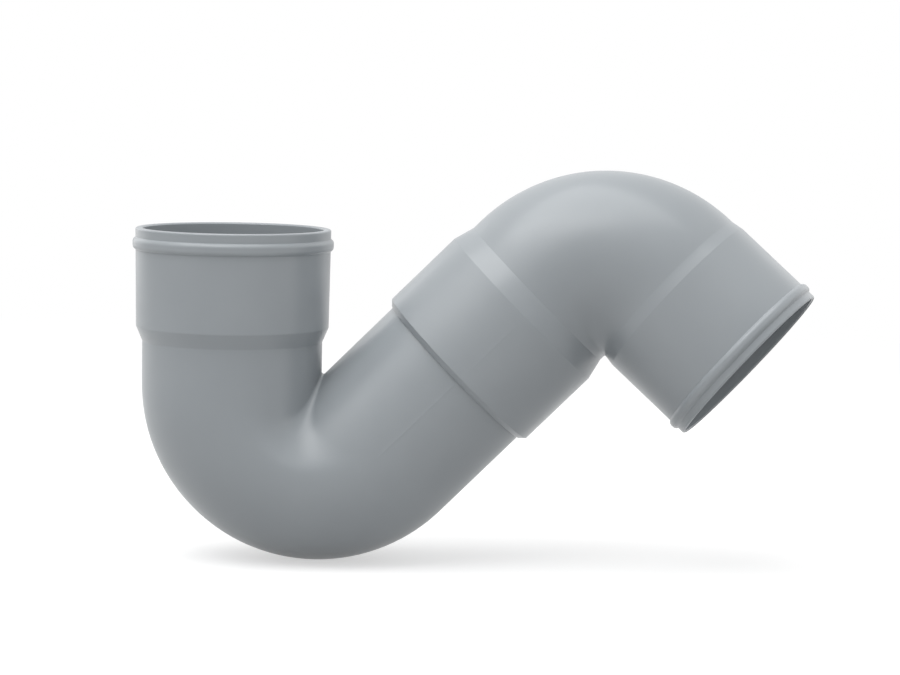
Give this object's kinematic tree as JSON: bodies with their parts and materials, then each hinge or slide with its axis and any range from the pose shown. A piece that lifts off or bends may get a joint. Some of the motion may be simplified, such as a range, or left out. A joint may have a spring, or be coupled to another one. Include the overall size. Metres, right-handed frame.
{
  "type": "q trap",
  "caption": "Grey pipe trap: a U bend with a socket inlet, and a turning elbow that points its socket outlet down at the floor.",
  "frame": {"origin": "centre of the inlet mouth, in the plane of its rim", "axes": "+Z leaves the inlet mouth; +X runs from the inlet towards the outlet, in the plane of the U bend"},
  "size_m": [0.4148, 0.1435, 0.2423],
  "materials": {
    "u_bend_plastic": "mid grey moulded drain plastic, satin",
    "outlet_bend_plastic": "mid grey moulded drain plastic, satin"
  },
  "bodies": {
    "u_bend": {"u_bend": "u_bend_plastic"},
    "outlet_bend": {"outlet_bend": "outlet_bend_plastic"}
  },
  "joints": [
    {"name": "outlet_turn", "type": "hinge", "parent": "u_bend", "child": "outlet_bend", "pos_m": [0.13715, 0, -0.08581], "axis": [0.7071, 0, 0.7071], "continuous": true}
  ]
}
